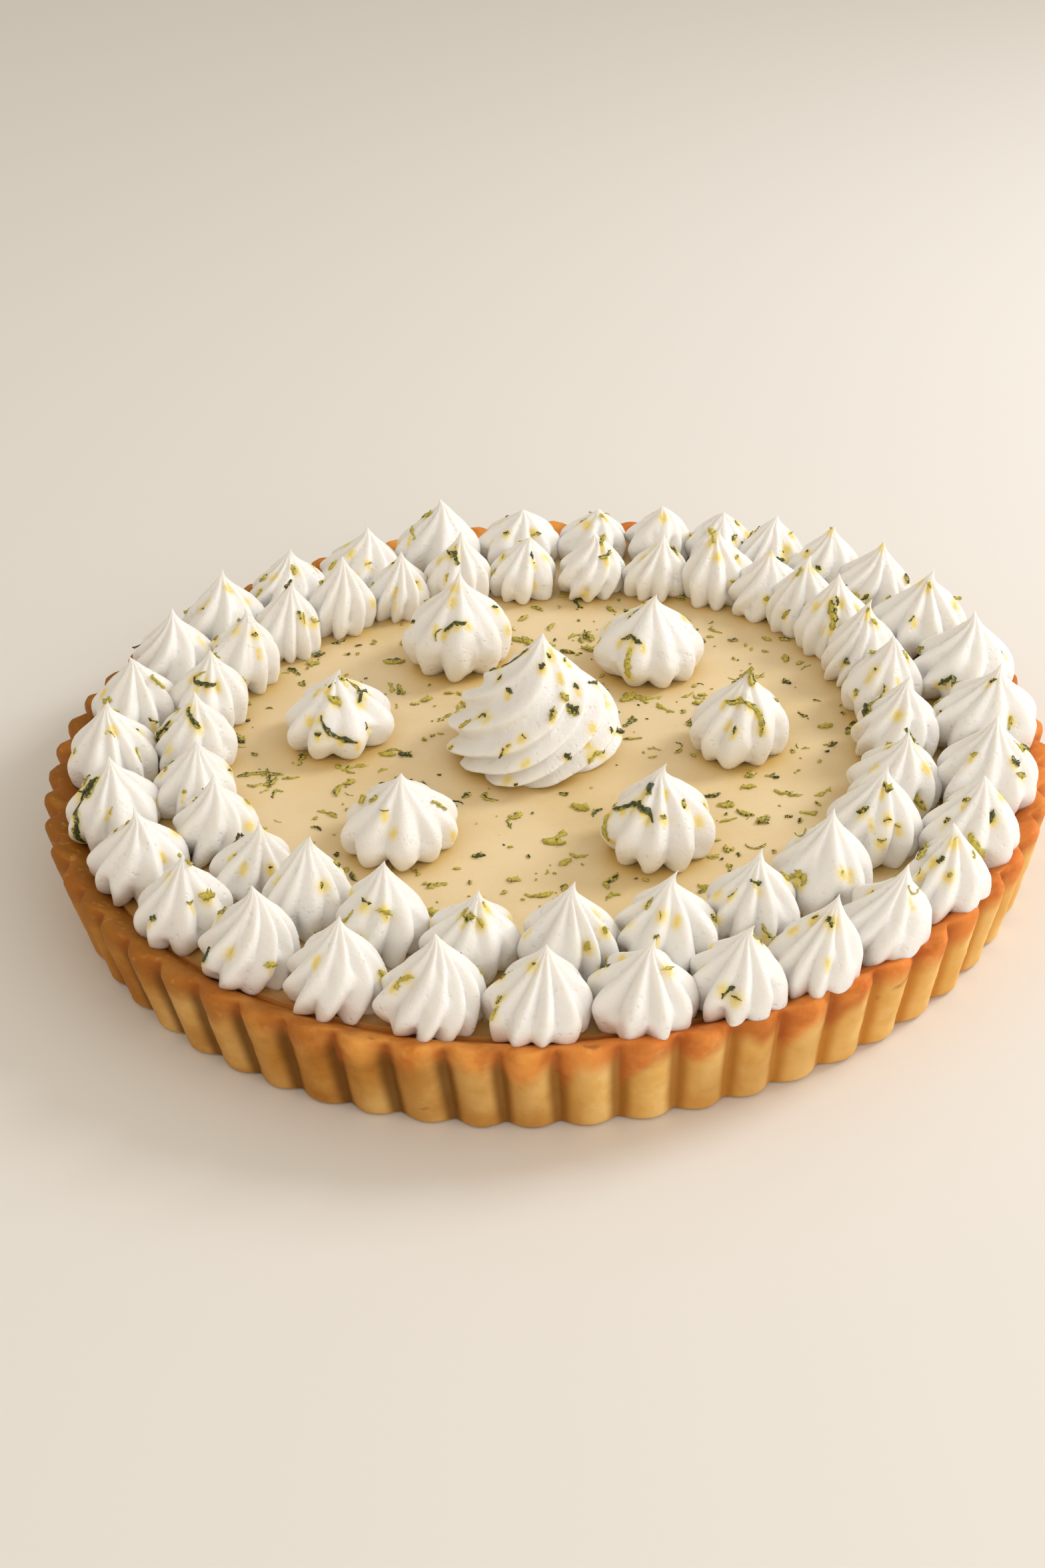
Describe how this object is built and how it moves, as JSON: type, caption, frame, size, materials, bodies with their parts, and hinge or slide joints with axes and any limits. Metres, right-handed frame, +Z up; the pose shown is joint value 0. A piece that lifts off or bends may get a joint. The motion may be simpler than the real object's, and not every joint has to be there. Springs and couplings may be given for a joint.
{
  "type": "key lime pie",
  "caption": "Whole lime custard pie in a fluted pastry crust, with piped meringue kisses around the rim and a tall meringue swirl in the middle.",
  "frame": {"origin": "middle of the crust's flat underside, on the surface that the pie stands on", "axes": "+Z up; -Y towards the front of the pie, +X to its right seen from the front"},
  "size_m": [0.2592, 0.2592, 0.0547],
  "materials": {
    "pastry": "baked golden-brown pastry, matt, darker at the rim",
    "custard": "smooth pale lime custard with a soft gloss",
    "meringue": "soft white meringue, satin"
  },
  "bodies": {
    "root": {"centre_swirl": "meringue", "crust": "pastry", "custard": "custard", "inner_kiss_01": "meringue", "inner_kiss_02": "meringue", "inner_kiss_03": "meringue", "inner_kiss_04": "meringue", "inner_kiss_05": "meringue", "inner_kiss_06": "meringue", "inner_kiss_07": "meringue", "inner_kiss_08": "meringue", "inner_kiss_09": "meringue", "inner_kiss_10": "meringue", "inner_kiss_11": "meringue", "inner_kiss_12": "meringue", "inner_kiss_13": "meringue", "inner_kiss_14": "meringue", "inner_kiss_15": "meringue", "inner_kiss_16": "meringue", "inner_kiss_17": "meringue", "inner_kiss_18": "meringue", "inner_kiss_19": "meringue", "inner_kiss_20": "meringue", "inner_kiss_21": "meringue", "inner_kiss_22": "meringue", "inner_kiss_23": "meringue", "inner_kiss_24": "meringue", "inner_kiss_25": "meringue", "inner_kiss_26": "meringue", "inner_kiss_27": "meringue", "inner_kiss_28": "meringue", "inner_kiss_29": "meringue", "middle_kiss_01": "meringue", "middle_kiss_02": "meringue", "middle_kiss_03": "meringue", "middle_kiss_04": "meringue", "middle_kiss_05": "meringue", "middle_kiss_06": "meringue", "outer_kiss_31": "meringue", "outer_kisses_01_02": "meringue", "outer_kisses_03_04": "meringue", "outer_kisses_05_06": "meringue", "outer_kisses_07_08": "meringue", "outer_kisses_09_10": "meringue", "outer_kisses_11_12": "meringue", "outer_kisses_13_14": "meringue", "outer_kisses_15_16": "meringue", "outer_kisses_17_18": "meringue", "outer_kisses_19_20": "meringue", "outer_kisses_21_22": "meringue", "outer_kisses_23_24": "meringue", "outer_kisses_25_26": "meringue", "outer_kisses_27_28": "meringue", "outer_kisses_29_30": "meringue"}
  },
  "joints": []
}
